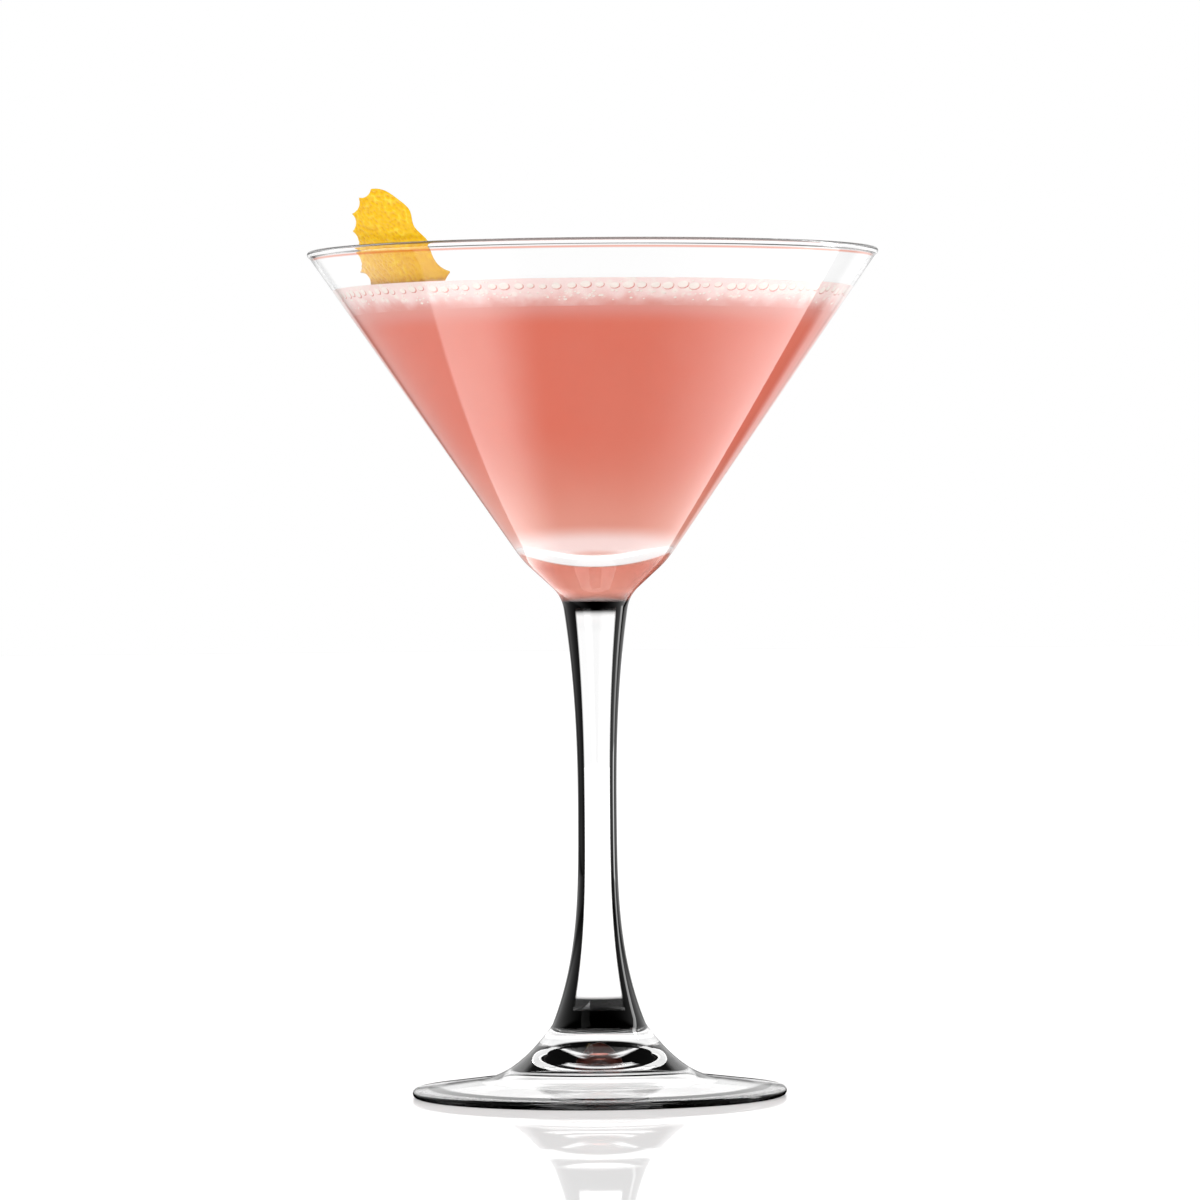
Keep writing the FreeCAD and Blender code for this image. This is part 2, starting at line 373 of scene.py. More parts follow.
def add(tree, kind, inputs=None, **settings):
    """Add a node, set it and link its inputs, and return it."""
    made = tree.nodes.new(kind)
    for key, value in settings.items():
        setattr(made, key, value)
    for key, value in (inputs or {}).items():
        if isinstance(value, bpy.types.NodeSocket):
            tree.links.new(value, made.inputs[key])
        else:
            made.inputs[key].default_value = value
    return made


# Sums over node values: the node that does each, its sockets in order, its output, its settings.
SUMS = {
    "ease": ("ShaderNodeMapRange", (0, 1, 2, 3, 4), 0, {"interpolation_type": "SMOOTHSTEP"}),
    "between": ("ShaderNodeMix", (0, 2, 3), 0, {"data_type": "FLOAT"}),
    "tint": ("ShaderNodeMix", (0, 6, 7), 2, {"data_type": "RGBA"}),
    "filter": ("ShaderNodeVectorMath", (0, 1), 0, {"operation": "MULTIPLY"}),
    "length": ("ShaderNodeVectorMath", (0,), 1, {"operation": "LENGTH"}),
}


def result(tree, name, *values):
    """The outcome of a sum from the table, or else of the Math operation of that name.
    "ease" takes a value, two places of it, and the outcomes at these, or else 0 and 1."""
    by_operation = ("ShaderNodeMath", (0, 1, 2), 0, {"operation": name})
    kind, sockets, output, settings = SUMS.get(name, by_operation)
    return add(tree, kind, dict(zip(sockets, values)), **settings).outputs[output]


WHITE = (1, 1, 1, 1)
BLACK = (0, 0, 0, 1)


def new_material(name):
    """An empty material and its tree."""
    material = bpy.data.materials.new(name)
    material.use_nodes = True
    material.node_tree.nodes.clear()
    return material, material.node_tree


def with_painted_shade(tree, skin, direct, through):
    """Painted shade: a colour times one tint where it is seen directly, another where it is seen
    through the glass, to even out how brightly the two are lit.
    """
    depth = add(tree, "ShaderNodeLightPath").outputs["Transmission Depth"]
    tint = result(tree, "tint", result(tree, "ease", depth, 0.3, 0.7), direct, through)
    return result(tree, "filter", skin, tint)


def place_parts(tree):
    """X, Y and Z of a point on the object, by name."""
    place = add(tree, "ShaderNodeTexCoord").outputs["Object"]
    return add(tree, "ShaderNodeSeparateXYZ", {0: place}).outputs


def off_axis(tree, parts):
    """A point's distance from the object's axis."""
    flat = add(tree, "ShaderNodeCombineXYZ", {"X": parts["X"], "Y": parts["Y"]})
    return result(tree, "length", flat.outputs[0])


GLASS_IOR = 1.5
# Hardly any bend: for the thin far wall, seen through the near one.
THIN_WALL_IOR = 1.001


def clear_glass(bowl, colours):
    """Clear soda-lime glass, blown and fire polished: colourless, with a mirror gloss.
    Where it is thick, at the stem, the foot's edge and the lip, its sides are painted black:
    painted shade for the dark that thick glass bends in from far away. The thin wall over the foam
    barely shows."""
    sizes = bowl.sizes
    material, tree = new_material("clear_soda_lime_glass")
    work = partial(result, tree)
    parts = place_parts(tree)
    height = parts["Z"]
    radius = off_axis(tree, parts)
    facing = add(tree, "ShaderNodeLayerWeight", {"Blend": 0.5}).outputs["Facing"]
    depth = add(tree, "ShaderNodeLightPath").outputs["Transmission Depth"]
    back = add(tree, "ShaderNodeNewGeometry").outputs["Backfacing"]
    front = work("SUBTRACT", 1.0, back)

    # Painted shade: the stem's sides, and a band at each of its ends, are painted black.
    collar, neck = bowl.collar, bowl.neck.y
    above = work("ease", height, collar - 1.2 * MM, collar - 0.2 * MM)
    below = work("ease", height, neck + 1.2 * MM, neck + 3.5 * MM, 1.0, 0.0)
    side = work("ease", facing, 0.2, 0.25)
    stem = work("MULTIPLY", side, work("MULTIPLY", above, below))
    top_band = work("MULTIPLY", work("ease", height, neck - 1.2 * MM, neck + 0.2 * MM), below)
    low_band = work("MULTIPLY", work("ease", height, collar + 4.4 * MM, collar + 3.0 * MM), above)
    inside_stem = work("ease", radius, 12.5 * MM, 11.5 * MM)
    band = work("MULTIPLY", work("MAXIMUM", top_band, low_band), inside_stem)

    # Painted shade: the edge under the foot and a line round the outside of the lip are painted
    # black.
    rim, foot = sizes.rim_height, sizes.foot_radius
    at_foot_edge = work("ease", radius, foot - 1.2 * MM, foot - 0.4 * MM)
    edge = work("MULTIPLY", at_foot_edge, work("ease", height, 1.4 * MM, 1.0 * MM, 0.0, 0.95))
    at_lip = work("ease", radius, bowl.lip.x - 0.1 * MM, bowl.lip.x + 0.1 * MM)
    lip = work("ease", height, rim - 0.6 * MM, rim - 0.4 * MM, 0.0, 0.9)
    lip = work("MULTIPLY", lip, work("MULTIPLY", front, at_lip))
    # All the painted shade together, as one mask.
    dark = stem
    for part in (band, edge, lip):
        dark = work("MAXIMUM", dark, part)

    # Painted light: a thin line of the drink's colour is painted on the near wall under the lip,
    # where it is seen directly.
    over_line = work("ease", height, rim - 1.3 * MM, rim - 1.6 * MM)
    glow = work("MULTIPLY", work("ease", height, rim - 2.0 * MM, rim - 1.7 * MM), over_line)
    glow = work("MULTIPLY", work("MULTIPLY", glow, front), work("ease", depth, 0.4, 0.2))
    tint = work("tint", dark, WHITE, BLACK)
    tint = work("tint", glow, tint, tuple(colours.drink))

    # The empty wall over the foam shows little gloss and, at the far side, no bend.
    thin = work("ease", height, sizes.foam_top - 0.3 * MM, sizes.foam_top + 0.3 * MM)
    mirror = work("tint", thin, WHITE, (0.2, 0.2, 0.2, 1))
    mirror = work("tint", dark, mirror, (0.02, 0.02, 0.02, 1))
    behind = work("MULTIPLY", work("ease", depth, 1.2, 1.8), thin)
    bend = work("ease", behind, 0.0, 1.0, GLASS_IOR, THIN_WALL_IOR)
    body = add(tree, "ShaderNodeBsdfPrincipled", {
        "Base Color": tint, "Roughness": 0.0, "IOR": bend, "Transmission Weight": 1.0,
        "Specular Tint": mirror,
    })
    add(tree, "ShaderNodeOutputMaterial", {"Surface": body.outputs[0]})
    return material


DRINK_IN_GLASS = 1.41 / GLASS_IOR
# One cloud of haze in the drink is about 18 mm across.
HAZE_PER_METRE = 55.0


def milky_drink(colours, sizes):
    """Gin, egg white and grenadine, shaken: an opaque, even pink with a little haze.
    It is paler under the foam. Low in the bowl and in a ring round the bowl's bottom it is painted
    paler, as painted light.
    Glass bends light more than drink does, so a glancing look at it shows a mirror."""
    material, tree = new_material("milky_pink_drink")
    work = partial(result, tree)
    place = add(tree, "ShaderNodeTexCoord").outputs["Object"]
    parts = place_parts(tree)
    height = parts["Z"]
    radius = off_axis(tree, parts)
    # Painted light: the drink is painted paler towards the bottom of the bowl.
    low = work("ease", height, 128 * MM, 102 * MM)
    haze = add(tree, "ShaderNodeTexNoise", {
        "Vector": place, "Scale": HAZE_PER_METRE, "Detail": 3.0,
    }).outputs[0]
    cloud = work("ease", haze, 0.35, 0.7, 0.0, 0.12)
    skin = work("tint", low, tuple(colours.drink), tuple(colours.drink_haze_and_painted_light))
    skin = work("tint", cloud, skin, tuple(colours.drink_haze_and_painted_light))
    foam = sizes.foam_bottom
    under = work("ease", height, foam - 3.6 * MM, foam + 0.6 * MM)
    skin = work("tint", under, skin, tuple(colours.foam_low))
    # Painted light: a pale ring round the bowl's bottom, painted in the foam's colour.
    inner = work("ease", radius, 3.0 * MM, 5.5 * MM)
    outer = work("ease", radius, 13.5 * MM, 8.5 * MM, 0.0, 0.85)
    skin = work("tint", work("MULTIPLY", inner, outer), skin, tuple(colours.foam))
    mirror = add(tree, "ShaderNodeFresnel", {"IOR": DRINK_IN_GLASS}).outputs[0]
    skin = work("tint", mirror, skin, WHITE)
    body = add(tree, "ShaderNodeBsdfPrincipled", {
        "Base Color": skin, "Metallic": mirror, "Roughness": 0.0, "Specular IOR Level": 0.0,
    })
    add(tree, "ShaderNodeOutputMaterial", {"Surface": body.outputs[0]})
    return material


FOAM_IOR = 1.34
# The foam's boundary wanders in waves of 4 mm, its blots are 2.4 mm and its clots 1.4 mm apart.
# Real clots are finer: these are as coarse as they need to be to show.
WAVES_PER_METRE = 260.0
BLOTS_PER_METRE = 420.0
CLOTS_PER_METRE = 700.0
WAVE_HEIGHT = 4.0 * MM


def fine_foam(colours, sizes):
    """Egg-white foam: matt and creamy, with clots of paler bubbles too small to part."""
    material, tree = new_material("fine_pink_foam")
    work = partial(result, tree)
    place = add(tree, "ShaderNodeTexCoord").outputs["Object"]
    parts = place_parts(tree)
    height = parts["Z"]
    foam = sizes.foam_bottom
    waves = add(tree, "ShaderNodeTexNoise", {
        "Vector": place, "Scale": WAVES_PER_METRE, "Detail": 4.0,
    }).outputs[0]
    ragged = work("MULTIPLY_ADD", waves, WAVE_HEIGHT, height)
    rise = work("ease", ragged, foam + 1.4 * MM, foam + 5.2 * MM)
    skin = work("tint", rise, tuple(colours.foam_low), tuple(colours.foam))
    clots = add(tree, "ShaderNodeTexVoronoi", {
        "Vector": place, "Scale": CLOTS_PER_METRE,
    }).outputs["Distance"]
    pale = work("ease", clots, 0.6, 0.15, 0.25, 1.0)
    blots = add(tree, "ShaderNodeTexNoise", {
        "Vector": place, "Scale": BLOTS_PER_METRE, "Detail": 2.0,
    }).outputs[0]
    blot = work("ease", blots, 0.46, 0.6, 0.0, 0.9)
    over_drink = work("ease", height, foam + 0.9 * MM, foam + 2.0 * MM)
    patch = work("MULTIPLY", work("MULTIPLY", pale, blot), over_drink)
    skin = work("tint", patch, skin, tuple(colours.bubble))
    # Painted shade: the foam is painted darker where it is seen directly than through the glass.
    skin = with_painted_shade(tree, skin, direct=(0.84, 0.79, 0.78, 1), through=WHITE)
    bump = add(tree, "ShaderNodeBump", {
        "Height": clots, "Strength": 0.25, "Distance": 0.3 * MM,
    })
    body = add(tree, "ShaderNodeBsdfPrincipled", {
        "Base Color": skin, "Roughness": 0.55, "IOR": FOAM_IOR, "Normal": bump.outputs[0],
    })
    add(tree, "ShaderNodeOutputMaterial", {"Surface": body.outputs[0]})
    return material


def bubble_film(colours):
    """Bubbles in the foam: a pale middle inside a darker ring of film. The pale middle sits higher
    than the centre, as a painted highlight.
    """
    material, tree = new_material("foam_bubbles")
    work = partial(result, tree)
    ring = add(tree, "ShaderNodeAttribute", attribute_name="ring").outputs["Fac"]
    edge = work("ease", ring, 0.74, 1.04)
    skin = work("tint", edge, tuple(colours.bubble), tuple(colours.bubble_edge))
    body = add(tree, "ShaderNodeBsdfPrincipled", {
        "Base Color": skin, "Roughness": 0.25, "IOR": FOAM_IOR,
    })
    add(tree, "ShaderNodeOutputMaterial", {"Surface": body.outputs[0]})
    return material


# The zest's tone drifts over about 6 mm.
TONES_PER_METRE = 180.0


def zest_skin(colours):
    """Lemon peel: waxy yellow skin with oil pores about a millimetre apart, over white pith. Its
    pores are painted darker, as painted shade, and the skin between them paler, as painted
    highlights.
    """
    material, tree = new_material("lemon_zest_and_pith")
    work = partial(result, tree)
    skin_share = add(tree, "ShaderNodeAttribute", attribute_name="skin").outputs["Fac"]
    pore = add(tree, "ShaderNodeAttribute", attribute_name="pore").outputs["Fac"]
    place = add(tree, "ShaderNodeTexCoord").outputs["Object"]
    drift = add(tree, "ShaderNodeTexNoise", {
        "Vector": place, "Scale": TONES_PER_METRE, "Detail": 3.0,
    }).outputs[0]
    tone = work("ease", drift, 0.35, 0.65, 0.0, 0.3)
    skin = work("tint", tone, tuple(colours.zest), tuple(colours.zest_tone_and_pore_shade))
    # Painted shade: the oil pores are painted darker.
    pore_shade = work("ease", pore, 0.3, 0.75, 0.0, 0.8)
    skin = work("tint", pore_shade, skin, tuple(colours.zest_tone_and_pore_shade))
    # Painted highlight: the skin between the pores is painted paler, in patches.
    between_pores = work("ease", pore, 0.2, 0.0)
    light = work("ease", drift, 0.6, 0.4, 0.15, 0.75)
    ridge = work("MULTIPLY", between_pores, light)
    skin = work("tint", ridge, skin, tuple(colours.zest_ridge_highlight))
    whole = work("tint", skin_share, tuple(colours.pith), skin)
    # Painted shade: the peel is painted darker and yellower where it is seen directly, and darker
    # still through the glass.
    whole = with_painted_shade(tree, whole, direct=(0.93, 0.89, 0.4, 1), through=(0.66, 0.58, 0.12, 1))
    body = add(tree, "ShaderNodeBsdfPrincipled", {
        "Base Color": whole, "Roughness": 0.28, "IOR": 1.4, "Specular IOR Level": 0.3,
        "Subsurface Weight": 0.05, "Subsurface Radius": (0.002, 0.0014, 0.0004),
        "Subsurface Scale": 1.0,
    })
    add(tree, "ShaderNodeOutputMaterial", {"Surface": body.outputs[0]})
    return material


# ---------------------------------------------------------------- operators


class CocktailGlass(bpy.types.Operator):
    """Turn the clear glass from its profile"""

    bl_idname = "cocktail.glass"
    bl_label = "Glass"

    def execute(self, context):
        bowl = Bowl(context.scene.cocktail_sizes)
        piece = turned("clear_glass_body", bowl.outline(), steps=224)
        piece.data.materials.append(clear_glass(bowl, context.scene.cocktail_colours))
        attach(piece, "root")
        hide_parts("glass")
        return {"FINISHED"}


class CocktailDrink(bpy.types.Operator):
    """Fill the bowl with the drink and its foam"""

    bl_idname = "cocktail.drink"
    bl_label = "Drink"

    def execute(self, context):
        sizes = context.scene.cocktail_sizes
        colours = context.scene.cocktail_colours
        bowl = Bowl(sizes)
        level = Vector((bowl.inner_side(sizes.foam_bottom, sizes.reach), sizes.foam_bottom))
        top = [Vector((0.0, sizes.foam_bottom))]
        top += line(top[0], level, steps=12)
        piece = turned("pink_drink_body", top + bowl.cavity(level, sizes.reach), steps=160)
        piece.data.materials.append(milky_drink(colours, sizes))
        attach(piece, "root")
        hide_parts("drink")
        foam = [Vector((0.0, sizes.foam_bottom))]
        foam += line(foam[0], level, steps=12)
        surface = Vector((bowl.inner_side(sizes.foam_top, sizes.reach), sizes.foam_top))
        foam += line(level, surface, steps=8)
        foam += line(surface, Vector((0.0, sizes.foam_top)), steps=20)
        layer = turned("foam_layer", foam, steps=160)
        layer.data.materials.append(fine_foam(colours, sizes))
        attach(layer, "root")
        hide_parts("foam")
        return {"FINISHED"}


class BubbleSizes(bpy.types.PropertyGroup):
    """Bubbles in the foam that press against the glass."""

    row_spacing: length("Row spacing", "Between the bubbles along the glass", 2.6 * MM)
    width: length("Width", "Across one bubble of the row", 2.35 * MM)
    height: length("Height", "Height of one bubble of the row", 1.75 * MM)
    press: length("Press", "How far a bubble's flat side reaches into the wall", 0.3 * MM)
    row_drop: length("Row drop", "From the foam's top to the middle of the row", 1.35 * MM)
    small_width: length("Small width", "Across a small bubble", 0.9 * MM)
    seed: IntProperty(name="Seed", description="Start of the random places", default=7)
    small_height: FloatProperty(
        name="Small height", description="Height of a small bubble for its width", default=0.7
    )
    small_press: length("Small press", "How far a small bubble reaches into the wall", 0.2 * MM)


# Random ranges: shifts are shares of the row's spacing, growths are factors, drops are in mm.
ROW_SHIFT = (-0.16, 0.16)
ROW_GROWTH = (0.72, 1.12)
ROW_DROP = (-0.25, 0.2)
# Small bubbles lie under the row, fewer of them further down.
SMALL_PER_BIG = 3
SMALL_GROWTH = (0.4, 1.1)
SMALL_NEAREST, SMALL_SPREAD, SMALL_CROWDING = 0.9, 1.7, 1.5
# As many as the row has lie over it, just under the foam's top.
TOP_GROWTH = (0.3, 0.75)
TOP_DROP = (0.3, 0.7)
# Painted highlight: the pale middle of a bubble lies off its centre, as shares of its radius.
HIGHLIGHT_ALONG, HIGHLIGHT_UP = -0.14, 0.2


def make_ball():
    """A small ball. Its ring attribute grows away from the bubble's pale middle, its painted
    highlight.
    """
    bm = bmesh.new()
    ring = bm.verts.layers.float.new("ring")
    bmesh.ops.create_icosphere(bm, subdivisions=2, radius=1.0)
    for vert in bm.verts:
        vert[ring] = math.hypot(vert.co.y - HIGHLIGHT_ALONG, vert.co.z - HIGHLIGHT_UP)
    ball = bpy.data.meshes.new("bubble")
    bm.to_mesh(ball)
    bm.free()
    return ball


def add_bubble(bm, ball, centre, axes, half):
    """Put a ball into the mesh, squashed along its axes."""
    columns = [axis * size for axis, size in zip(axes, half)]
    place = Matrix(columns).transposed().to_4x4()
    place.translation = centre
    bubble = ball.copy()
    bubble.transform(place)
    bm.from_mesh(bubble)
    bpy.data.meshes.remove(bubble)


class CocktailBubbles(bpy.types.Operator):
    """Press a row of bubbles against the glass, with small ones under and over it"""

    bl_idname = "cocktail.bubbles"
    bl_label = "Bubbles"

    def execute(self, context):
        sizes = context.scene.cocktail_sizes
        row = context.scene.cocktail_bubbles
        bowl = Bowl(sizes)
        draw = random.Random(row.seed)
        ball = make_ball()
        bm = bmesh.new()
        across = outward(bowl.side)
        climb = heading(bowl.side)

        def on_wall(turn, drop, width, height, press):
            """Press a bubble on the wall, drop below the foam's top."""
            level = sizes.foam_top - drop
            radius = bowl.inner_side(level)
            around = Vector((math.cos(turn), math.sin(turn), 0.0))
            along = Vector((-math.sin(turn), math.cos(turn), 0.0))
            normal = around * across.x + Vector((0.0, 0.0, across.y))
            up = around * climb.x + Vector((0.0, 0.0, climb.y))
            centre = around * radius + Vector((0.0, 0.0, level))
            add_bubble(bm, ball, centre, (normal, along, up), (press, width / 2, height / 2))

        radius = bowl.inner_side(sizes.foam_top)
        count = round(2 * math.pi * radius / row.row_spacing)
        for place in range(count):
            turn = 2 * math.pi * (place + draw.uniform(*ROW_SHIFT)) / count
            grow = draw.uniform(*ROW_GROWTH)
            drop = row.row_drop + draw.uniform(*ROW_DROP) * MM
            on_wall(turn, drop, row.width * grow, row.height * grow, row.press)
        small_height = row.small_width * row.small_height
        for _ in range(SMALL_PER_BIG * count):
            turn = draw.uniform(0.0, 2 * math.pi)
            grow = draw.uniform(*SMALL_GROWTH)
            below = SMALL_NEAREST + SMALL_SPREAD * draw.random() ** SMALL_CROWDING
            drop = row.row_drop + below * MM
            on_wall(turn, drop, row.small_width * grow, small_height * grow, row.small_press)
        for _ in range(count):
            turn = draw.uniform(0.0, 2 * math.pi)
            grow = draw.uniform(*TOP_GROWTH)
            drop = draw.uniform(*TOP_DROP) * MM
            on_wall(turn, drop, row.small_width * grow, small_height * grow, row.small_press)
        piece = finished("foam_bubbles_at_glass", bm)
        piece.data.materials.append(bubble_film(context.scene.cocktail_colours))
        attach(piece, "root")
        return {"FINISHED"}


class PeelSizes(bpy.types.PropertyGroup):
    """The strip of lemon peel."""

    thickness: length("Thickness", "Skin and pith together", 1.6 * MM)
    bend_radius: length("Bend radius", "Radius of the bent skin", 46.0 * MM)
    wall_clearance: length("Clearance", "From the skin to the bowl's wall", 0.5 * MM)
    skin_depth: length("Skin depth", "Thickness of the yellow skin", 0.75 * MM)
    pore_spacing: length("Pore spacing", "Between the oil pores", 0.85 * MM)
    pore_depth: length("Pore depth", "Depth of an oil pore", 0.2 * MM)
    lump_height: length("Lumps", "Unevenness of the skin", 0.12 * MM)
    detail: length("Detail", "Size of the smallest shape in the mesh", 0.19 * MM)
    azimuth: FloatProperty(
        name="Azimuth", description="Where the peel lies on the wall",
        default=math.radians(227.0), unit="ROTATION", subtype="ANGLE",
    )


# Noise over the peel: waves per metre, and how deep the edge of the skin wanders and fades.
RAGGED_PER_METRE = 900.0
RAGGED_DEPTH = 0.15 * MM
SKIN_FADE = 0.3 * MM
LUMPS_PER_METRE = 330.0
PORE_REACH = 0.8


class CocktailPeel(bpy.types.Operator):
    """Dress the lemon peel with pores and pith"""

    bl_idname = "cocktail.peel"
    bl_label = "Lemon peel"

    def execute(self, context):
        sizes = context.scene.cocktail_sizes
        peel = context.scene.cocktail_peel
        bowl = Bowl(sizes)
        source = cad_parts["lemon_peel"]
        bm = bmesh.new()
        bm.from_mesh(source.data)
        bmesh.ops.remove_doubles(bm, verts=bm.verts, dist=10 * MERGE_DISTANCE)
        piece = finished("lemon_peel_strip", bm)
        remesh = piece.modifiers.new("remesh", "REMESH")
        remesh.mode = "VOXEL"
        remesh.voxel_size = peel.detail
        soften = piece.modifiers.new("soften", "SMOOTH")
        soften.factor = 0.5
        soften.iterations = 3
        graph = context.evaluated_depsgraph_get()
        mesh = bpy.data.meshes.new_from_object(piece.evaluated_get(graph))
        piece.modifiers.clear()
        piece.data = mesh
        mesh.name = "lemon_peel_strip"
        self.carve(mesh, bowl, sizes, peel)
        mesh.materials.clear()
        mesh.materials.append(zest_skin(context.scene.cocktail_colours))
        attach(piece, "root")
        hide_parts("lemon_peel")
        return {"FINISHED"}

    def carve(self, mesh, bowl, sizes, peel):
        """Sink the pores, lump the skin, and mark skin and pores for the material."""
        around = Vector((math.cos(peel.azimuth), math.sin(peel.azimuth), 0.0))
        up = Vector((0.0, 0.0, 1.0))
        slope = around * math.sin(bowl.side) + up * math.cos(bowl.side)
        to_wall = around * math.cos(bowl.side) - up * math.sin(bowl.side)
        touch = around * bowl.inner_side(sizes.foam_top) + up * sizes.foam_top
        touch -= to_wall * peel.wall_clearance
        bend_axis = touch - to_wall * peel.bend_radius
        bm = bmesh.new()
        bm.from_mesh(mesh)
        skin_mark = bm.verts.layers.float.new("skin")
        pore_mark = bm.verts.layers.float.new("pore")
        bm.normal_update()
        moves = []
        for vert in bm.verts:
            arm = vert.co - bend_axis
            arm -= slope * arm.dot(slope)
            depth = peel.bend_radius - arm.length
            ragged = noise.noise(vert.co * RAGGED_PER_METRE) * RAGGED_DEPTH
            share = (peel.skin_depth + ragged - depth) / SKIN_FADE + 0.5
            share = min(1.0, max(0.0, share))
            vert[skin_mark] = share
            facing = max(0.0, vert.normal.dot(arm.normalized()))
            near, _ = noise.voronoi(vert.co / peel.pore_spacing, distance_metric="DISTANCE")
            pore = max(0.0, 1.0 - near[0] / PORE_REACH)
            vert[pore_mark] = pore * share
            lump = noise.noise(vert.co * LUMPS_PER_METRE)
            lift = lump * peel.lump_height - pore * peel.pore_depth
            moves.append((vert, vert.normal * (share * facing * lift)))
        for vert, move in moves:
            vert.co += move
        for face in bm.faces:
            face.smooth = True
        bm.to_mesh(mesh)
        bm.free()


EYE_HEIGHT = 102.5 * MM
CAMERA_DISTANCE = 1282 * MM
AIM_HEIGHT = 94.32 * MM
AIM_ACROSS = 0.85 * MM
CAMERA_ROLL = math.radians(-0.5)
LENS_MM = 202.1
SENSOR_MM = 36.0


def make_camera(scene):
    data = bpy.data.cameras.new("camera")
    data.sensor_width = SENSOR_MM
    data.lens = LENS_MM
    data.clip_start = 0.01
    data.clip_end = 50.0
    camera = bpy.data.objects.new("camera", data)
    scene.collection.objects.link(camera)
    camera.location = (0.0, -CAMERA_DISTANCE, EYE_HEIGHT)
    aim = Vector((AIM_ACROSS, 0.0, AIM_HEIGHT)) - camera.location
    turn = aim.to_track_quat("-Z", "Y").to_matrix().to_4x4()
    roll = Matrix.Rotation(CAMERA_ROLL, 4, "Z")
    camera.matrix_world = Matrix.Translation(camera.location) @ turn @ roll
    scene.camera = camera


def climb_of(degrees):
    """Height, on the sky's unit sphere, of a direction so far above the horizon."""
    return math.sin(math.radians(degrees))


def make_world(scene):
    """White for the camera. Glass shows it white round about and dark overhead, and white
    further up where the light was mirrored on its way. Gloss sees white low at the horizon
    and halfway up, and dark overhead. Matt surfaces get an even light."""
    world = bpy.data.worlds.new("studio")
    world.use_nodes = True
    tree = world.node_tree
    tree.nodes.clear()
    work = partial(result, tree)
    path = add(tree, "ShaderNodeLightPath").outputs
    place = add(tree, "ShaderNodeTexCoord").outputs["Generated"]
    height = add(tree, "ShaderNodeSeparateXYZ", {0: place}).outputs["Z"]
    straight = work("ease", height, climb_of(17), climb_of(27), 1.0, 0.0)
    mirrored = work("ease", height, climb_of(28), climb_of(46), 1.0, 0.0)
    after_mirror = work("GREATER_THAN", path["Glossy Depth"], 0.5)
    through = work("between", after_mirror, straight, mirrored)
    halfway = work("ease", height, 0.07, 0.13, 0.3, 1.0)
    overhead = work("ease", height, 0.6, 0.45, 0.06, 0.95)
    horizon = work("ease", height, 0.055, 0.035, 0.0, 0.75)
    gloss = work("MAXIMUM", work("MULTIPLY", halfway, overhead), horizon)
    sharp = work("SUBTRACT", path["Is Singular Ray"], path["Is Transmission Ray"])
    strength = work("between", sharp, through, gloss)
    on_matt = work("GREATER_THAN", path["Diffuse Depth"], 0.5)
    even = work("between", path["Is Transmission Ray"], 1.0, 1.65)
    strength = work("between", on_matt, strength, even)
    strength = work("between", path["Is Camera Ray"], strength, 1.0)
    background = add(tree, "ShaderNodeBackground", {"Color": WHITE, "Strength": strength})
    add(tree, "ShaderNodeOutputWorld", {"Surface": background.outputs[0]})
    scene.world = world


FLOOR_RADIUS = 6.0


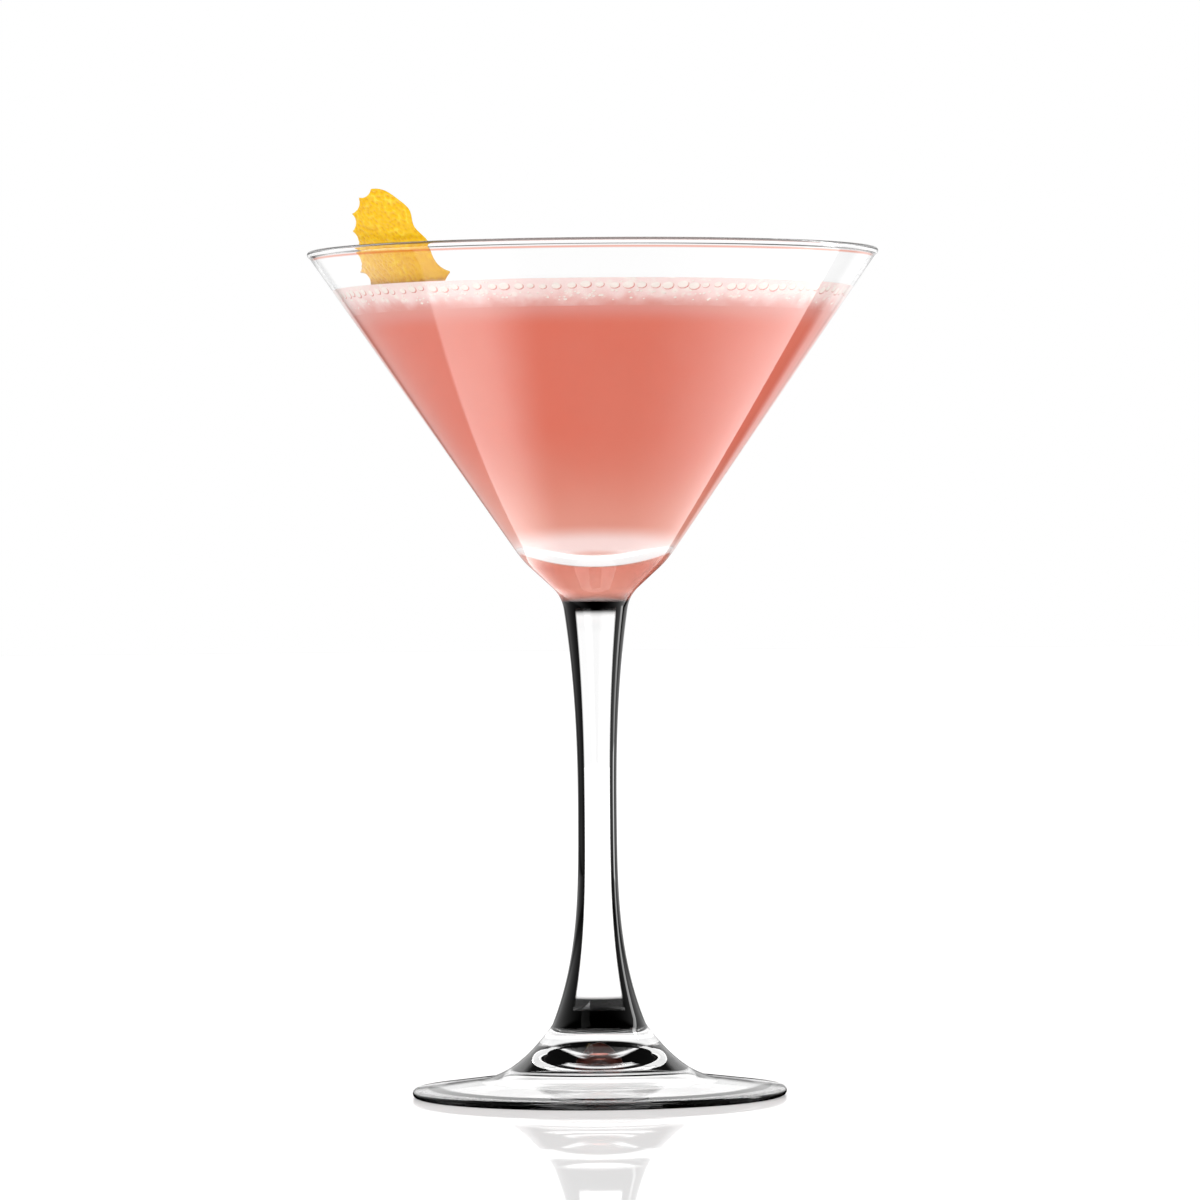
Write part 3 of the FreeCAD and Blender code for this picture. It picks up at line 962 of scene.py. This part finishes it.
def make_floor():
    """A polished white table, lit so that it also glows a little, more so through glass.
    The glass's gloss sees soft bright patches in it to the left, to the right and far
    behind, with dark between them. Their places and widths are in metres."""
    bm = bmesh.new()
    bmesh.ops.create_circle(bm, cap_ends=True, segments=96, radius=FLOOR_RADIUS)
    floor = finished("studio_floor", bm, smooth=False)
    material, tree = new_material("white_acrylic_table")
    work = partial(result, tree)
    path = add(tree, "ShaderNodeLightPath").outputs
    parts = place_parts(tree)
    across, back = parts["X"], parts["Y"]


    lean = work("MULTIPLY_ADD", back, -0.22, across)
    left = work("ease", across, -0.055, -0.135, 0.0, 3.3)
    left = work("MULTIPLY", left, work("ease", lean, -0.186, -0.178))
    left_rest = work("ease", lean, -0.178, -0.186, 0.0, 0.75)
    left_rest = work("MULTIPLY", left_rest, work("ease", back, 1.0, 0.4, 0.15, 1.0))
    right = work("ease", across, 0.04, 0.21, 0.0, 2.8)
    right = work("MULTIPLY", right, work("ease", back, 0.215, 0.2))
    far = work("MULTIPLY", work("ease", across, 0.1, 0.2), work("ease", back, 0.3, 0.5, 0.0, 0.9))
    far = work("MULTIPLY", far, work("ease", back, 1.4, 0.7, 0.3, 1.0))
    slant = work("DIVIDE", back, across)
    off_streak = work("ABSOLUTE", work("ADD", slant, -0.38))
    streak = work("ease", off_streak, 0.14, 0.1, 0.0, 8.0)
    streak = work("MULTIPLY", streak, work("ease", across, 0.3, 0.4))
    distant = work("ease", back, 0.9, 1.5, 0.0, 0.7)
    total = work("ADD", streak, distant)
    for patch in (left, left_rest, right, far):
        total = work("ADD", total, patch)
    gloss = add(tree, "ShaderNodeMath", {
        0: path["Is Glossy Ray"], 1: path["Is Transmission Ray"],
    }, operation="SUBTRACT", use_clamp=True).outputs[0]
    on_matt = work("GREATER_THAN", path["Diffuse Depth"], 0.5)
    through = work("between", on_matt, 0.85, 1.4)
    plain_glow = work("between", path["Is Transmission Ray"], 0.35, through)
    strength = work("between", gloss, plain_glow, total)
    glow = add(tree, "ShaderNodeEmission", {"Color": WHITE, "Strength": strength}).outputs[0]
    matt = add(tree, "ShaderNodeBsdfDiffuse", {"Color": (0.92, 0.92, 0.92, 1)}).outputs[0]
    mirror = add(tree, "ShaderNodeBsdfGlossy", {"Color": WHITE, "Roughness": 0.02}).outputs[0]
    lit = add(tree, "ShaderNodeAddShader", {0: glow, 1: matt}).outputs[0]
    polished = add(tree, "ShaderNodeMixShader", {0: 0.45, 1: lit, 2: mirror}).outputs[0]
    seen = add(tree, "ShaderNodeMixShader", {0: gloss, 1: polished, 2: glow}).outputs[0]
    add(tree, "ShaderNodeOutputMaterial", {"Surface": seen})
    floor.data.materials.append(material)


def add_soft_light(scene, name, place, aim, size, radiance):
    """A rectangular soft light at a place, facing another, of a given brightness."""
    data = bpy.data.lights.new(name, "AREA")
    data.shape = "RECTANGLE"
    data.size, data.size_y = size
    data.energy = radiance * math.pi * size[0] * size[1]
    light = bpy.data.objects.new(name, data)
    scene.collection.objects.link(light)
    light.location = place
    light.rotation_euler = (Vector(aim) - Vector(place)).to_track_quat("-Z", "Y").to_euler()
    light.visible_camera = False
    light.visible_transmission = False
    return light


def make_lights(scene):
    """A narrow light to the right that only gloss sees, and a key light in front, on the left."""
    edge = add_soft_light(
        scene, "edge_light", place=(1.0, 0.38, 0.5), aim=(0, 0, 0.5), size=(0.2, 1.1), radiance=9.0
    )
    edge.visible_diffuse = False
    add_soft_light(
        scene, "key_light", place=(-0.7, -0.8, 0.9), aim=(0, 0, 0.12), size=(0.5, 0.5), radiance=4.0
    )


class CocktailStage(bpy.types.Operator):
    """Set the table, the light and the camera"""

    bl_idname = "cocktail.stage"
    bl_label = "Stage"

    def execute(self, context):
        scene = context.scene
        make_floor()
        make_world(scene)
        make_lights(scene)
        make_camera(scene)
        scene.view_settings.view_transform = "Standard"
        return {"FINISHED"}


class CocktailPanel(bpy.types.Panel):
    """The pieces of the cocktail"""

    bl_idname = "VIEW3D_PT_cocktail"
    bl_label = "Pink Lady Cocktail"
    bl_space_type = "VIEW_3D"
    bl_region_type = "UI"
    bl_category = "Cocktail"

    def draw(self, context):
        for operator in OPERATORS:
            self.layout.operator(operator.bl_idname)


OPERATORS = (CocktailGlass, CocktailDrink, CocktailBubbles, CocktailPeel, CocktailStage)
CLASSES = (GlassSizes, DrinkColours, BubbleSizes, PeelSizes, *OPERATORS, CocktailPanel)


def register():
    for item in CLASSES:
        bpy.utils.register_class(item)
    bpy.types.Scene.cocktail_sizes = PointerProperty(type=GlassSizes)
    bpy.types.Scene.cocktail_colours = PointerProperty(type=DrinkColours)
    bpy.types.Scene.cocktail_bubbles = PointerProperty(type=BubbleSizes)
    bpy.types.Scene.cocktail_peel = PointerProperty(type=PeelSizes)


def unregister():
    del bpy.types.Scene.cocktail_peel
    del bpy.types.Scene.cocktail_bubbles
    del bpy.types.Scene.cocktail_colours
    del bpy.types.Scene.cocktail_sizes
    for item in reversed(CLASSES):
        bpy.utils.unregister_class(item)


def main():
    register()
    for operator in OPERATORS:
        group, name = operator.bl_idname.split(".")
        getattr(getattr(bpy.ops, group), name)()


if __name__ == "__main__":
    main()
